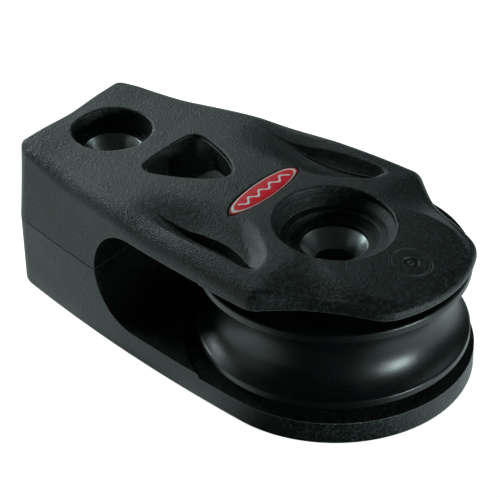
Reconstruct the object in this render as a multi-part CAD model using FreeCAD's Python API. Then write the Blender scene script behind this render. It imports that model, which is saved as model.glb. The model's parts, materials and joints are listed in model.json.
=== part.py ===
import FreeCAD, Part
import math
import os

# Single sheave foot block: two moulded shells clamp a free-running sheave on two rows of balls.
# Millimetres. +Z is up, away from the deck; +X runs from the tail to the round nose.
# The origin is where the sheave's axis meets the deck face.

os.makedirs("parts", exist_ok=True)
Vec = FreeCAD.Vector
UP = Vec(0, 0, 1)

# ---- driving dimensions: the body ----
NOSE_R = 20.5          # round nose, about the sheave's axis
SIDE_R = 285.0         # gentle arc of each side wall
SIDE_START = 3.6       # degrees behind square where the side arc leaves the nose arc
TAIL_X = -50.9         # tail end face
TAIL_CORNER_R = 2.8
DRAFT = 0.35           # the base shell's wall leans out by this much from deck to parting plane
PART_Z = 11.8          # parting plane between the two shells
BASE_EDGE = 0.5        # break on the deck face's edge
CROWN_TOP = 24.5       # highest point of the cover
CROWN_X = -26.0        # where along the block it is highest
CROWN_R = 350.0        # lengthwise crown of the cover's top
SIDE_FILLET = 3.4      # rounding of the cover's long top edges
FILLET_END_X = -1.0    # the rounding stops here, where the scallops begin
ABOVE = 30.0           # height that cutting tools reach, clear of the cover
OVERRUN = 1.0          # how far a tool passes a face that it opens
ROOT = 0.5             # how far a post is sunk into its shell

# ---- the sheave's well and the line's way through ----
WELL_R = 21.9          # round pocket that the sheave turns in
WELL_FLOOR = 3.7
WELL_ROOF = 20.2
THROAT_END_X = -31.3   # blind end of the line's opening
THROAT_FLOOR = 4.3
THROAT_ROOF = 20.4
NOTCH_R = 33.0                # scallop in each side of the cover's edge
NOTCH_CENTRE = (24.5, 43.6)
NOTCH_SHOULDER_R = 3.0        # rounding where the side wall meets the scallop
NOTCH_NOSE_R = 5.0            # rounding where the scallop meets the nose

# ---- the sheave and its bearing ----
SHEAVE_R = 19.8
SHEAVE_LOW, SHEAVE_HIGH = 5.6, 18.4
FLANGE = 1.1           # flange thickness at the rim
GROOVE_DEPTH = 3.3
SHEAVE_BORE_R = 11.1
RIM_ROUND = 0.35
MID_Z = 0.5 * (SHEAVE_LOW + SHEAVE_HIGH)
BALL_R = 2.0
BALL_PITCH_R = 10.2
BALL_COUNT = 15        # in each row
ROW_OFFSET = 3.2       # each row's height above or below the middle of the sheave
RACE_GAP = 0.05        # clearance between a ball and its races
HUB_R = 9.3
HUB_COLLAR_R = 13.2    # outer collar that covers the end of the bearing
COLLAR_REACH = 0.8     # how far a collar enters its recess in the sheave
COLLAR_GAP = 0.4       # between a collar and the sheave, all round
SPIGOT_R = 7.0         # post on each shell that the hub sits on
SPIGOT_FIT = 0.03
SPIGOT_LOW_TOP = 8.6
SPIGOT_HIGH_BOTTOM = 14.6

# ---- the two screw tubes ----
HOLE_PITCH = 41.8      # between the two deck screws
SCREW_R = 2.75         # clearance for a 5 mm countersunk screw
TUBE_R = 3.6
TUBE_FIT = 0.03
FOOT_R = 5.2           # flat head of each tube, let into the deck face
FOOT_H = 1.2
LIP_H = 0.75           # height of the flared rim
LIP_WALL = 0.2         # width of the flat land round the countersink

# counterbore over the sheave: (radius, height) of each edge, going down
CENTRE_STEPS = [(8.95, 26.0), (8.75, 23.9), (7.85, 21.5), (6.6, 21.4), (6.35, 20.55), (5.05, 20.5)]
CENTRE_LIP_R, CENTRE_LIP_Z = 4.95, 19.9
TAIL_STEPS = [(6.1, 26.0), (6.0, 23.3), (5.45, 20.7), (4.75, 20.6)]
TAIL_LIP_R, TAIL_LIP_Z = 4.65, 20.3

# ---- details of the cover's top ----
WINDOW_TAIL_X, WINDOW_NOSE_X = -31.8, -18.9   # rounded triangle through the roof
WINDOW_TAIL_HALF, WINDOW_NOSE_HALF = 5.9, 1.5
WINDOW_TAIL_R, WINDOW_NOSE_R = 2.2, 1.9
WINDOW_BOTTOM = 14.0
BADGE_X = -12.7
BADGE_HALF_LONG, BADGE_HALF_WIDE = 7.9, 2.0
BADGE_T = 0.6
BADGE_DEPTH = 0.75
BADGE_SIDE_GAP = 0.1
MARK_X, MARK_R = 13.3, 2.9     # plain ring moulded at the nose
MARK_W, MARK_DEPTH = 0.45, 0.3
SCOOP_TAIL = (-25.5, 13.2)     # leaf-shaped hollow beside the boss: its two tips
SCOOP_NOSE = (-2.4, 15.3)
SCOOP_INNER = (-13.6, 12.3)    # a point on its inner rim, and on its outer rim
SCOOP_OUTER = (-12.0, 15.3)
SCOOP_DEPTH = 1.6
PEG_X, PEG_Y, PEG_R, PEG_H = -37.0, 11.0, 1.5, 2.0   # pegs that place one shell on the other
PEG_FIT = 0.05
PEG_END_GAP = 0.2


def polar(radius, degrees, z=0.0, centre=(0.0, 0.0)):
    """A point at a radius and an angle round an upright axis."""
    a = math.radians(degrees)
    return Vec(centre[0] + radius * math.cos(a), centre[1] + radius * math.sin(a), z)


def arc(start, middle, end):
    return Part.Arc(start, middle, end).toShape()


def line(start, end):
    return Part.LineSegment(start, end).toShape()


def outline(inset, z):
    """Plan of the block: nose arc, two long side arcs, two rounded corners and a straight tail."""
    nose_r, side_r, corner_r = NOSE_R - inset, SIDE_R - inset, TAIL_CORNER_R - inset
    join = polar(NOSE_R, 90 + SIDE_START)
    side_centre = join * (1 - SIDE_R / NOSE_R)
    corner_x = TAIL_X + TAIL_CORNER_R
    reach = SIDE_R - TAIL_CORNER_R
    corner_y = side_centre.y + math.sqrt(reach ** 2 - (corner_x - side_centre.x) ** 2)
    out = math.degrees(math.atan2(corner_y - side_centre.y, corner_x - side_centre.x))

    def side_point(degrees):
        return polar(side_r, degrees, z, (side_centre.x, side_centre.y))

    def corner_point(degrees):
        return polar(corner_r, degrees, z, (corner_x, corner_y))

    upper = [
        (polar(nose_r, 0, z), polar(nose_r, 45, z), side_point(90 + SIDE_START)),
        (side_point(90 + SIDE_START), side_point(0.5 * (90 + SIDE_START + out)), side_point(out)),
        (side_point(out), corner_point(0.5 * (out + 180)), corner_point(180)),
    ]
    half = [arc(*points) for points in upper]
    lower = [arc(*[Vec(p.x, -p.y, p.z) for p in reversed(points)]) for points in reversed(upper)]
    tail_top = upper[-1][2]
    tail = line(tail_top, Vec(tail_top.x, -tail_top.y, z))
    return Part.Wire(half + [tail] + lower)


def prism(wire, height):
    return Part.Face(wire).extrude(UP * height)


def polygon(points):
    return Part.Wire(Part.makePolygon(points + [points[0]]).Edges)


def revolve(points, axis_x=0.0):
    """Solid of revolution from (radius, height) corners, about an upright axis."""
    wire = polygon([Vec(axis_x + r, 0, z) for r, z in points])
    return Part.Face(wire).revolve(Vec(axis_x, 0, 0), UP, 360)


def disc(radius, low, high, x=0.0, y=0.0):
    return Part.makeCylinder(radius, high - low, Vec(x, y, low))


def rounded_slot(low, high):
    """The line's way through the block: straight across, with a round blind end."""
    radius = 0.5 * (high - low)
    middle, centre_x = 0.5 * (high + low), THROAT_END_X + radius
    y = -2 * NOSE_R
    top, bottom = Vec(centre_x, y, high), Vec(centre_x, y, low)
    wire = Part.Wire([
        arc(bottom, Vec(THROAT_END_X, y, middle), top),
        line(top, Vec(0, y, high)),
        line(Vec(0, y, high), Vec(0, y, low)),
        line(Vec(0, y, low), bottom),
    ])
    return Part.Face(wire).extrude(Vec(0, 4 * NOSE_R, 0))


def circle_meeting(radius_a, centre_b, radius_b, side):
    """Where a circle about the origin crosses another circle, on one side of the line of centres."""
    apart = math.hypot(*centre_b)
    along = (radius_a ** 2 - radius_b ** 2 + apart ** 2) / (2 * apart)
    across = side * math.sqrt(radius_a ** 2 - along ** 2)
    ux, uy = centre_b[0] / apart, centre_b[1] / apart
    return Vec(along * ux - across * uy, along * uy + across * ux, 0)


def sharp_notch(sign):
    """The scallop's own cylinder, before its two corners are rounded."""
    return disc(NOTCH_R, PART_Z - OVERRUN, ABOVE, NOTCH_CENTRE[0], sign * NOTCH_CENTRE[1])


def notch(sign):
    """Tool for one scallop in the cover's edge, which leaves the sheave's rim in view."""
    centre = Vec(*NOTCH_CENTRE, 0)
    path = []
    for radius, side in ((NOTCH_SHOULDER_R, 1), (NOTCH_NOSE_R, -1)):
        mid = circle_meeting(NOSE_R - radius, NOTCH_CENTRE, NOTCH_R + radius, side)
        on_nose = mid + mid * (radius / mid.Length)
        on_notch = mid + (centre - mid) * (radius / (centre - mid).Length)
        bulge = (on_nose + on_notch) * 0.5 - mid
        path.append((on_nose, mid + bulge * (radius / bulge.Length), on_notch))
    shoulder, nose = path
    chord = (shoulder[2] + nose[2]) * 0.5 - centre
    deepest = centre + chord * (NOTCH_R / chord.Length)
    far_nose, far_shoulder = nose[0] * 2.0, shoulder[0] * 2.0
    corner = Vec(far_nose.x, far_shoulder.y, 0)

    def place(point):
        return Vec(point.x, sign * point.y, PART_Z - OVERRUN)

    arcs = [shoulder, (shoulder[2], deepest, nose[2]), nose[::-1]]
    outside = [nose[0], far_nose, corner, far_shoulder, shoulder[0]]
    edges = [arc(*map(place, points)) for points in arcs]
    edges += [line(place(a), place(b)) for a, b in zip(outside, outside[1:])]
    return prism(Part.Wire(edges), ABOVE - PART_Z)


def crown(extra=0.0):
    """Long cylinder across the block whose top is the cover's lengthwise crown."""
    reach = 2 * NOSE_R
    base = Vec(CROWN_X, -reach, CROWN_TOP - CROWN_R)
    return Part.makeCylinder(CROWN_R + extra, 2 * reach, base, Vec(0, 1, 0))


def upright_edges(shape, x):
    """Upright edges at one distance along the block, which has none on its centreline there."""
    found = []
    for edge in shape.Edges:
        box = edge.BoundBox
        if max(box.XLength, box.YLength, abs(box.XMin - x)) < 0.01:
            found.append(edge)
    return found


def window():
    """Rounded triangle through the roof of the throat, wide towards the tail."""
    corners = [Vec(x, side * half, WINDOW_BOTTOM) for x, half, side in (
        (WINDOW_TAIL_X, WINDOW_TAIL_HALF, 1), (WINDOW_TAIL_X, WINDOW_TAIL_HALF, -1),
        (WINDOW_NOSE_X, WINDOW_NOSE_HALF, -1), (WINDOW_NOSE_X, WINDOW_NOSE_HALF, 1))]
    block = prism(polygon(corners), ABOVE - WINDOW_BOTTOM)
    block = block.makeFillet(WINDOW_TAIL_R, upright_edges(block, WINDOW_TAIL_X))
    return block.makeFillet(WINDOW_NOSE_R, upright_edges(block, WINDOW_NOSE_X))


def scoop(sign):
    """Shallow leaf-shaped hollow beside the hub boss, with a floor that follows the crown."""
    def place(point):
        return Vec(point[0], sign * point[1], PART_Z)

    inner = arc(place(SCOOP_TAIL), place(SCOOP_INNER), place(SCOOP_NOSE))
    outer = arc(place(SCOOP_NOSE), place(SCOOP_OUTER), place(SCOOP_TAIL))
    return prism(Part.Wire([inner, outer]), ABOVE - PART_Z).cut(crown(-SCOOP_DEPTH))


def badge_outline(grow, z):
    ellipse = Part.Ellipse(Vec(BADGE_X, BADGE_HALF_LONG + grow, z),
                           Vec(BADGE_X - BADGE_HALF_WIDE - grow, 0, z), Vec(BADGE_X, 0, z))
    return Part.Wire([ellipse.toShape()])


def badge_slab(grow, top_gap, depth):
    """Oval slab whose top and bottom follow the crown, a little below it."""
    column = prism(badge_outline(grow, PART_Z), ABOVE - PART_Z)
    return column.common(crown(-top_gap)).cut(crown(-top_gap - depth))


def cone_point(lip_r, lip_z):
    """Height where the 90 degree countersink meets the straight bore."""
    return lip_z - (lip_r - SCREW_R)


def make_screw_tube(x, lip_r, lip_z):
    """Hollow tube that clamps the shells: flat foot below, flared countersunk rim above."""
    cone_z = cone_point(lip_r, lip_z)
    return revolve([
        (SCREW_R, 0), (FOOT_R, 0), (FOOT_R, FOOT_H), (TUBE_R, FOOT_H),
        (TUBE_R, cone_z - LIP_H + LIP_WALL), (lip_r, lip_z - LIP_H), (lip_r, lip_z),
        (lip_r - LIP_WALL, lip_z), (SCREW_R, cone_z - LIP_WALL),
    ], x)


def tube_seat(x, lip_r, lip_z, steps):
    """Tool for a screw tube's hole in the shells, with its foot, its flare and the counterbore."""
    cone_z, gap = cone_point(lip_r, lip_z), TUBE_FIT
    lowest = steps[-1][1]
    return revolve([
        (0, -OVERRUN), (FOOT_R + gap, -OVERRUN), (FOOT_R + gap, FOOT_H + gap),
        (TUBE_R + gap, FOOT_H + gap), (TUBE_R + gap, cone_z - LIP_H + LIP_WALL - 2 * gap),
        (lip_r + gap, lip_z - LIP_H - 2 * gap), (lip_r + gap, lowest)]
        + steps[::-1] + [(0, steps[0][1])], x)


def make_base_shell():
    low, high = outline(DRAFT, 0), outline(0, PART_Z)
    body = Part.makeLoft([low, high], True, True)
    deck = [e for e in body.Edges if e.BoundBox.ZMax < 0.01]
    body = body.makeChamfer(BASE_EDGE, deck)
    body = body.cut(rounded_slot(THROAT_FLOOR, THROAT_ROOF)).cut(disc(WELL_R, WELL_FLOOR, ABOVE))
    body = body.fuse(disc(SPIGOT_R, WELL_FLOOR - ROOT, SPIGOT_LOW_TOP))
    for side in (1, -1):
        body = body.fuse(disc(PEG_R, PART_Z - ROOT, PART_Z + PEG_H, PEG_X, side * PEG_Y))
    body = body.cut(tube_seat(0, CENTRE_LIP_R, CENTRE_LIP_Z, CENTRE_STEPS))
    body = body.cut(tube_seat(-HOLE_PITCH, TAIL_LIP_R, TAIL_LIP_Z, TAIL_STEPS))
    return body.removeSplitter()


def make_cover_shell():
    body = prism(outline(0, PART_Z), ABOVE - PART_Z).common(crown())
    for side in (1, -1):
        body = body.cut(sharp_notch(side))
    top = max([f for f in body.Faces if f.BoundBox.ZMin > PART_Z + OVERRUN], key=lambda f: f.Area)
    body = body.makeFillet(SIDE_FILLET, [e for e in top.Edges if e.CenterOfMass.x < FILLET_END_X])
    for side in (1, -1):
        body = body.cut(notch(side)).cut(scoop(side))
    body = body.cut(rounded_slot(THROAT_FLOOR, THROAT_ROOF)).cut(disc(WELL_R, 0, WELL_ROOF))
    body = body.fuse(disc(SPIGOT_R, SPIGOT_HIGH_BOTTOM, WELL_ROOF + ROOT))
    for side in (1, -1):
        socket_top = PART_Z + PEG_H + PEG_END_GAP
        body = body.cut(disc(PEG_R + PEG_FIT, PART_Z - OVERRUN, socket_top, PEG_X, side * PEG_Y))
    body = body.cut(window())
    body = body.cut(badge_slab(BADGE_SIDE_GAP, -OVERRUN, BADGE_DEPTH + OVERRUN))
    ring = disc(MARK_R, PART_Z, ABOVE, MARK_X).cut(disc(MARK_R - MARK_W, PART_Z, ABOVE, MARK_X))
    body = body.cut(ring.cut(crown(-MARK_DEPTH)))
    body = body.cut(tube_seat(0, CENTRE_LIP_R, CENTRE_LIP_Z, CENTRE_STEPS))
    body = body.cut(tube_seat(-HOLE_PITCH, TAIL_LIP_R, TAIL_LIP_Z, TAIL_STEPS))
    return body.removeSplitter()


def make_badge():
    return badge_slab(0, BADGE_DEPTH - BADGE_T, BADGE_T)


def make_sheave():
    """Grooved wheel: round groove between two thin flanges, with a ball race for each row inside."""
    low, high, rim = SHEAVE_LOW, SHEAVE_HIGH, SHEAVE_R
    groove_low, groove_high = low + FLANGE, high - FLANGE
    corners = [Vec(SHEAVE_BORE_R, 0, low), Vec(rim, 0, low), Vec(rim, 0, groove_low)]
    top = [Vec(rim, 0, groove_high), Vec(rim, 0, high), Vec(SHEAVE_BORE_R, 0, high)]
    edges = [line(a, b) for a, b in zip(corners, corners[1:])]
    edges.append(arc(corners[-1], Vec(rim - GROOVE_DEPTH, 0, MID_Z), top[0]))
    edges += [line(a, b) for a, b in zip(top, top[1:] + corners[:1])]
    wheel = Part.Face(Part.Wire(edges)).revolve(Vec(0, 0, 0), UP, 360)
    circles = [e for e in wheel.Edges if abs(e.BoundBox.ZLength) < 0.01]
    wheel = wheel.makeFillet(RIM_ROUND, [e for e in circles if e.BoundBox.XMax > rim - 0.01])
    recess = COLLAR_REACH + COLLAR_GAP
    for bottom, top_z in ((low - OVERRUN, low + recess), (high - recess, high + OVERRUN)):
        wheel = wheel.cut(disc(HUB_COLLAR_R + COLLAR_GAP, bottom, top_z))
    return wheel.cut(races(BALL_R + RACE_GAP))


def races(radius):
    rows = [Part.makeTorus(BALL_PITCH_R, radius, Vec(0, 0, MID_Z + side * ROW_OFFSET)) for side in (-1, 1)]
    return rows[0].fuse(rows[1])


def make_hub_half(side):
    """Half of the fixed inner race: a sleeve on its shell's spigot, with a collar over the bearing."""
    outer_z = WELL_FLOOR if side < 0 else WELL_ROOF
    low, high = sorted((outer_z, MID_Z))
    sheave_end = SHEAVE_LOW if side < 0 else SHEAVE_HIGH
    sleeve = disc(HUB_R, low, high)
    collar = disc(HUB_COLLAR_R, *sorted((outer_z, sheave_end - side * COLLAR_REACH)))
    half = sleeve.fuse(collar).cut(disc(SPIGOT_R + SPIGOT_FIT, low - OVERRUN, high + OVERRUN))
    return half.cut(races(BALL_R + RACE_GAP)).removeSplitter()


def make_ball(side, index):
    angle = 360.0 * index / BALL_COUNT + (0 if side < 0 else 180.0 / BALL_COUNT)
    centre = polar(BALL_PITCH_R, angle, MID_Z + side * ROW_OFFSET)
    return Part.makeSphere(BALL_R, centre)


def write(name, shape):
    solids = shape.Solids
    if len(solids) != 1 or not shape.isValid():
        raise ValueError(f"{name}: {len(solids)} solids, valid {shape.isValid()}")
    solids[0].exportStep(f"parts/{name}.step")
    print(name, round(solids[0].Volume, 1))


def main():
    write("base_shell", make_base_shell())
    write("cover_shell", make_cover_shell())
    write("badge", make_badge())
    write("sheave", make_sheave())
    write("hub_lower_half", make_hub_half(-1))
    write("hub_upper_half", make_hub_half(1))
    write("axle_tube", make_screw_tube(0, CENTRE_LIP_R, CENTRE_LIP_Z))
    write("tail_tube", make_screw_tube(-HOLE_PITCH, TAIL_LIP_R, TAIL_LIP_Z))
    for row, side in (("lower", -1), ("upper", 1)):
        for index in range(BALL_COUNT):
            write(f"ball_{row}_{index + 1:02d}", make_ball(side, index))


main()
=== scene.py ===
# %% [markdown]
# ## A single sheave block
# This lesson dresses a small piece of boat hardware. Two black moulded shells are clamped together by
# two hollow screw tubes, and a grooved sheave turns between them on two rows of balls.
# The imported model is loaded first. It is the fixed frame: it says where every piece is and what moves.

# %% Load the frame
import json
import bmesh
import bpy
import numpy as np
from mathutils import Matrix, Vector


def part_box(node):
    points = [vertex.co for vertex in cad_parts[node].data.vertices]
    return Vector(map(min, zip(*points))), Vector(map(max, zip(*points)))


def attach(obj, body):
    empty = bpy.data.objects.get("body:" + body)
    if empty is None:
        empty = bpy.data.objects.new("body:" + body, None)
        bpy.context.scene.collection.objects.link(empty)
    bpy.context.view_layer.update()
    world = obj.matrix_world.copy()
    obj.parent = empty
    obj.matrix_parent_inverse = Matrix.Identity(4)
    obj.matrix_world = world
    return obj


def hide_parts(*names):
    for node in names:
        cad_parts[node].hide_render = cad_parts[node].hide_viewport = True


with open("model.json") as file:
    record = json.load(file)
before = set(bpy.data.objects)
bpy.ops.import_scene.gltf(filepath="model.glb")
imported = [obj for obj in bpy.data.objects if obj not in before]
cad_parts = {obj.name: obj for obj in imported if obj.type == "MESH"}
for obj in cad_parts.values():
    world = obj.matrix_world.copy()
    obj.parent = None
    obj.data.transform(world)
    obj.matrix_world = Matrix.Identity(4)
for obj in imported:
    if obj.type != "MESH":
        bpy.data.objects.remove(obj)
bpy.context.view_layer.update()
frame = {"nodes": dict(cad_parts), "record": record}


# %% [markdown]
# ## Sizes
# A block is easier to think about in millimetres, so every shape here is worked out in millimetres and
# turned into metres only when its mesh is made. The large sizes are read from the frame's own nodes, so
# the finished pieces always fit it. The small ones, such as rounding radii, are named where they are used.

# %% Read the driving sizes from the frame
MM = 0.001


def box_mm(node):
    """Lowest and highest corners of a CAD node, in millimetres."""
    return tuple(np.array(corner, float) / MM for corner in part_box(node))


cover_low, cover_high = box_mm("cover_shell")
sheave_low, sheave_high = box_mm("sheave")
tail_tube_low, tail_tube_high = box_mm("tail_tube")
axle_tube_high = box_mm("axle_tube")[1]
badge_low, badge_high = box_mm("badge")
hub_high = box_mm("hub_upper_half")[1]
hub_low = box_mm("hub_lower_half")[0]

NOSE_R = cover_high[0]                 # round nose about the sheave's axis
TAIL_X = cover_low[0]
PART_Z = cover_low[2]                  # plane where the two shells meet
TOP_Z = cover_high[2]
SHEAVE_R = sheave_high[0]
HOLE_X = 0.5 * (tail_tube_low[0] + tail_tube_high[0])
WELL_FLOOR, WELL_ROOF = hub_low[2], hub_high[2]
print("nose radius", round(NOSE_R, 2), "tail", round(TAIL_X, 2), "height", round(TOP_Z, 2))
print("screw pitch", round(-HOLE_X, 2), "sheave", round(2 * SHEAVE_R, 2), "across")


# %% [markdown]
# ## Surfaces as grids
# Nearly every piece is a grid of points: one parameter runs along it and the other round it. A grid is a
# numpy array of rows by columns by three, and its faces follow from where each point stands in it.
# Rows that shrink to a point or to a line are welded, which closes the surface.

# %% Turn a grid of points into a closed mesh
def add_mesh(name, points, faces):
    """An object whose points are given in millimetres and whose doubled points are welded."""
    mesh = bpy.data.meshes.new(name)
    mesh.from_pydata((np.asarray(points, float).reshape(-1, 3) * MM).tolist(), [], faces.tolist())
    work = bmesh.new()
    work.from_mesh(mesh)
    bmesh.ops.remove_doubles(work, verts=work.verts, dist=2e-7)
    bmesh.ops.dissolve_degenerate(work, edges=work.edges, dist=1e-7)
    bmesh.ops.recalc_face_normals(work, faces=work.faces)
    work.to_mesh(mesh)
    work.free()
    piece = bpy.data.objects.new(name, mesh)
    bpy.context.scene.collection.objects.link(piece)
    return piece


def grid_piece(name, grid, closed_rows=False):
    """Quads between neighbouring rows and columns. Columns always close on themselves; rows may."""
    rows, columns = grid.shape[:2]
    index = np.arange(rows * columns).reshape(rows, columns)
    after = np.roll(index, -1, axis=0) if closed_rows else index[1:]
    before = index if closed_rows else index[:-1]
    corners = [before, np.roll(before, -1, axis=1), np.roll(after, -1, axis=1), after]
    faces = np.stack([c.reshape(-1) for c in corners], axis=1)
    return add_mesh(name, grid, faces)


def level(places, height):
    """Places in plan, set at a height: one number for them all, or one for each."""
    return np.column_stack([places, np.full(len(places), height, float)])


def directions(count):
    """Angles all the way round, and the unit direction (cos a, sin a) at each."""
    angle = np.linspace(0, 2 * np.pi, count, endpoint=False)
    return angle, np.stack([np.cos(angle), np.sin(angle)], axis=1)


def smooth(value, start, end):
    """Eased step: 0 before start, 1 after end, and 3t^2 - 2t^3 between them."""
    t = np.clip((value - start) / (end - start), 0, 1)
    return t * t * (3 - 2 * t)


# %% [markdown]
# ## Turned shapes
# The sheave, the screw tubes and the stepped holes are all turned shapes: a profile of radius and height
# swept round an upright axis. A sharp corner never catches the light, so each corner of a profile is
# replaced by a short arc.

# %% Round a profile's corners and sweep it round an axis
def rounded(corners, radii, steps=5):
    """Each corner becomes an arc: a circle of that radius that touches both of its sides.
    The touching points lie radius * tan(turn / 2) from the corner."""
    corners = np.asarray(corners, float)
    radii = np.broadcast_to(np.asarray(radii, float), len(corners))
    path = []
    neighbours = np.roll(corners, 1, 0), corners, np.roll(corners, -1, 0)
    for before, corner, after, radius in zip(*neighbours, radii):
        a, b = before - corner, after - corner
        a, b = a / np.linalg.norm(a), b / np.linalg.norm(b)
        turn = np.pi - np.arccos(np.clip(a @ b, -1, 1))
        if radius <= 0 or turn < 0.02:
            path.append(corner[None])
            continue
        reach = radius * np.tan(turn / 2)
        middle = corner + (a + b) / np.linalg.norm(a + b) * radius / np.cos(turn / 2)
        start, end = corner + a * reach - middle, corner + b * reach - middle
        share = np.linspace(0, 1, steps)[:, None]
        arc = (np.sin((1 - share) * turn) * start + np.sin(share * turn) * end) / np.sin(turn)
        path.append(middle + arc)
    return np.concatenate(path)


def turned(name, profile, x=0.0, segments=144, closed=False):
    """x = axis + r cos a, y = r sin a, z = height, for every profile point and every angle a."""
    profile = np.asarray(profile, float)[:, None, :]
    plan = [x, 0.0] + profile[..., :1] * directions(segments)[1]
    heights = np.broadcast_to(profile[..., 1:], (*plan.shape[:2], 1))
    return grid_piece(name, np.concatenate([plan, heights], axis=2), closed_rows=closed)


# %% [markdown]
# ## The block's plan
# Seen from above, both shells share one outline: a round nose, two long gentle sides and a square tail
# with small round corners. The cover also has a scallop in each flank that leaves the sheave's rim in
# view. The outline is built for one flank from circular arcs, then mirrored for the other.

# %% Work out the outline of each shell
SIDE_R, SIDE_START = 285.0, 3.6        # long side arc, and its start in degrees behind square
CORNER_R = 3.5
NOTCH_R, NOTCH_CENTRE = 33.0, (24.5, 43.6)
SHOULDER_R, NOSE_CORNER_R = 3.0, 5.0   # rounding at the two ends of the scallop


def arc_points(centre, radius, start, end, count):
    """Points on a circle between two angles in degrees, without the last one, and their directions."""
    angle = np.radians(np.linspace(start, end, count, endpoint=False))
    along = np.stack([np.cos(angle), np.sin(angle)], axis=1)
    return np.asarray(centre) + radius * along, along


def angle_of(vector):
    return np.degrees(np.arctan2(vector[1], vector[0]))


def meeting(radius_a, centre_b, radius_b, side):
    """Where a circle about the origin crosses another circle, on one side of the line of centres."""
    centre_b = np.asarray(centre_b, float)
    apart = np.linalg.norm(centre_b)
    along = (radius_a ** 2 - radius_b ** 2 + apart ** 2) / (2 * apart)
    across = side * np.sqrt(radius_a ** 2 - along ** 2)
    unit = centre_b / apart
    return along * unit + across * np.array([-unit[1], unit[0]])


def tail_stretch():
    """The long side arc, the tail's round corner and half of the straight tail."""
    join = NOSE_R * np.array([np.cos(np.radians(90 + SIDE_START)), np.sin(np.radians(90 + SIDE_START))])
    side_centre = join * (1 - SIDE_R / NOSE_R)
    corner = np.array([TAIL_X + CORNER_R, 0.0])
    reach = SIDE_R - CORNER_R
    corner[1] = side_centre[1] + np.sqrt(reach ** 2 - (corner[0] - side_centre[0]) ** 2)
    out = angle_of(corner - side_centre)
    side = arc_points(side_centre, SIDE_R, 90 + SIDE_START, out, 120)
    bend = arc_points(corner, CORNER_R, out, 180, 18)
    across = np.linspace(corner[1], 0, 26)
    tail = np.stack([np.full_like(across, TAIL_X), across], axis=1)
    return [side, bend, (tail, np.tile([-1.0, 0.0], (len(across), 1)))]


def scallop_stretch():
    """Nose arc, its rounded end, the hollow arc of the scallop and the rounded shoulder."""
    centre = np.asarray(NOTCH_CENTRE)
    nose_mid = meeting(NOSE_R - NOSE_CORNER_R, centre, NOTCH_R + NOSE_CORNER_R, -1)
    shoulder_mid = meeting(NOSE_R - SHOULDER_R, centre, NOTCH_R + SHOULDER_R, 1)
    nose_end, shoulder_start = angle_of(nose_mid), angle_of(shoulder_mid)
    hollow_start, hollow_end = angle_of(nose_mid - centre), angle_of(shoulder_mid - centre)
    nose = arc_points((0, 0), NOSE_R, 0, nose_end, 44)
    nose_corner = arc_points(nose_mid, NOSE_CORNER_R, nose_end, hollow_start + 180, 22)
    hollow, outward = arc_points(centre, NOTCH_R, hollow_start, hollow_end, 60)
    shoulder = arc_points(shoulder_mid, SHOULDER_R, hollow_end + 180, shoulder_start, 30)
    rest = arc_points((0, 0), NOSE_R, shoulder_start, 90 + SIDE_START, 8)
    return [nose, nose_corner, (hollow, -outward), shoulder, rest]


def whole_outline(stretches):
    """Joins one flank's stretches and mirrors them, so every point has its twin across the block."""
    points = np.concatenate([s[0] for s in stretches])
    outward = np.concatenate([s[1] for s in stretches])
    flip = np.array([1, -1])
    return (np.concatenate([points, (points * flip)[-2:0:-1]]),
            np.concatenate([outward, (outward * flip)[-2:0:-1]]))


round_nose = [arc_points((0, 0), NOSE_R, 0, 90 + SIDE_START, 110)]
base_plan = whole_outline(round_nose + tail_stretch())
cover_plan = whole_outline(scallop_stretch() + tail_stretch())
print("outline points:", len(base_plan[0]), "and", len(cover_plan[0]))


# %% [markdown]
# ## The cover's top
# The top is gently crowned along the block, sinks towards the tail and the flanks, and drops away at the
# nose. Three quieter shapes lie on it: a hollow on each side that ends against the hub's boss, a crescent
# bevel round the nose and a faint valley at the tail. All of them are height functions, so they can be
# added together.

# %% Height of the top at any place
CROWN_X, NOSE_CROWN_R = -18.0, 262.0   # highest place, and the crown's radius from there to the nose
TAIL_FALL, TAIL_FALL_FROM_TO = 0.7, (18.0, 42.0)      # how far the top sinks, and over what stretch
TAIL_LIFT, TAIL_END_FROM_TO = 0.25, (43.0, 50.0)      # it lifts again at its very end
NOSE_FALL_X, NOSE_FALL = 9.0, 0.0048
SIDE_FALL_Y, SIDE_FALL, SIDE_FALL_FROM_TO = 9.0, 0.0105, (-34.0, -20.0)
DISH_DEPTH, DISH_FROM_TO = 1.7, (-27.0, -14.0)
DISH_RISE_Y, DISH_RAIL_Y = (6.2, 12.0), (13.8, 16.6)  # where it deepens outwards, and where the rail ends it
BOSS_X, BOSS_Y, BOSS_END_X = -6.5, 9.9, -2.3
BOSS_SLANT, BOSS_BLEND, BOSS_BANK = (0.56, 0.83), 2.2, (-1.1, 1.3)
BEVEL_X, BEVEL_R, BEVEL_SLOPE = 10.5, 10.4, 0.40
BEVEL_SOFT, BEVEL_FROM_TO = 0.02, (0.0, 10.0)
VALLEY_DEPTH, VALLEY_WIDTH = 0.4, 4.5


def dish(x, y):
    """Hollow on each flank. Two lines, one slanting and one square, say where the boss ends it; it
    deepens outwards to the scoop, stops at the rail along the flank and fades out to the tail."""
    across = np.abs(y)
    slanting = BOSS_SLANT[0] * (x - BOSS_X) - BOSS_SLANT[1] * (across - BOSS_Y)
    square = x - BOSS_END_X
    past_boss = 0.5 * (slanting + square + np.hypot(slanting - square, BOSS_BLEND))
    width = smooth(across, *DISH_RISE_Y) * (1 - smooth(across, *DISH_RAIL_Y))
    return DISH_DEPTH * (1 - smooth(past_boss, *BOSS_BANK)) * width * smooth(x, *DISH_FROM_TO)


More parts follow.
